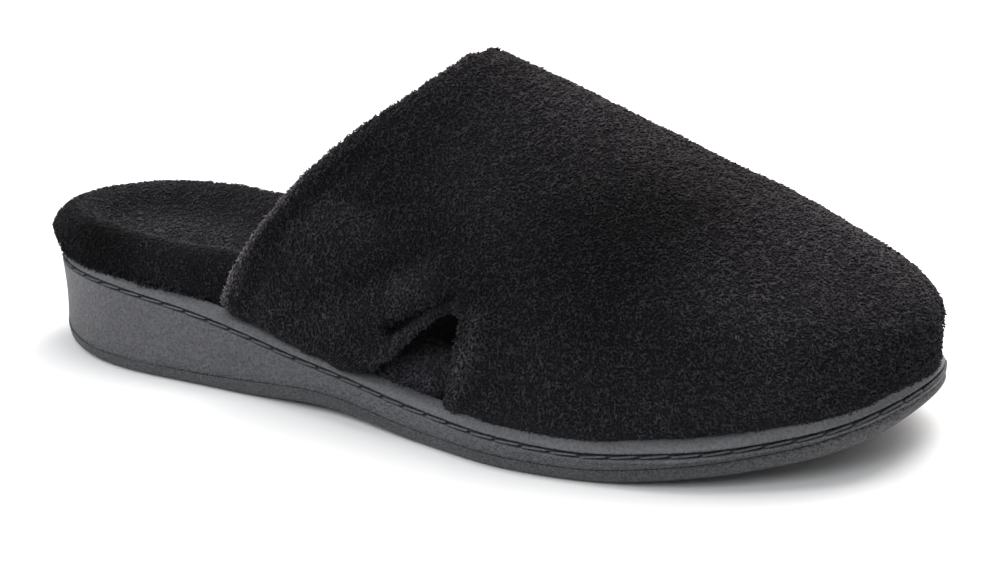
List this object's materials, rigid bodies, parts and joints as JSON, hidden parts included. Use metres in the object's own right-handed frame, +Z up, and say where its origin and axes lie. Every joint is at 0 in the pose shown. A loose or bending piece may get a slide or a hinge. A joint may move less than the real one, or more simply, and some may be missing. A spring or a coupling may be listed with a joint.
{
  "type": "slipper",
  "caption": "Closed-toe, open-heel plush slipper for the right foot, with a dished terry footbed, a side adjuster tab under a notched flap and a moulded wedge sole.",
  "frame": {"origin": "centre of the bounding box on the floor the shoe stands on", "axes": "+X from heel to toe, +Y toward the inner side of the right foot, +Z up"},
  "size_m": [0.2654, 0.0988, 0.0942],
  "materials": {
    "sole_rubber": "matt moulded rubber",
    "sole_foam": "grained moulded foam with a smooth strip",
    "footbed_terry": "short looped pile",
    "plush": "short cut pile"
  },
  "bodies": {
    "root": {"outsole": "sole_rubber", "midsole": "sole_foam", "footbed": "footbed_terry", "upper": "plush", "side_tab": "plush"}
  },
  "joints": []
}
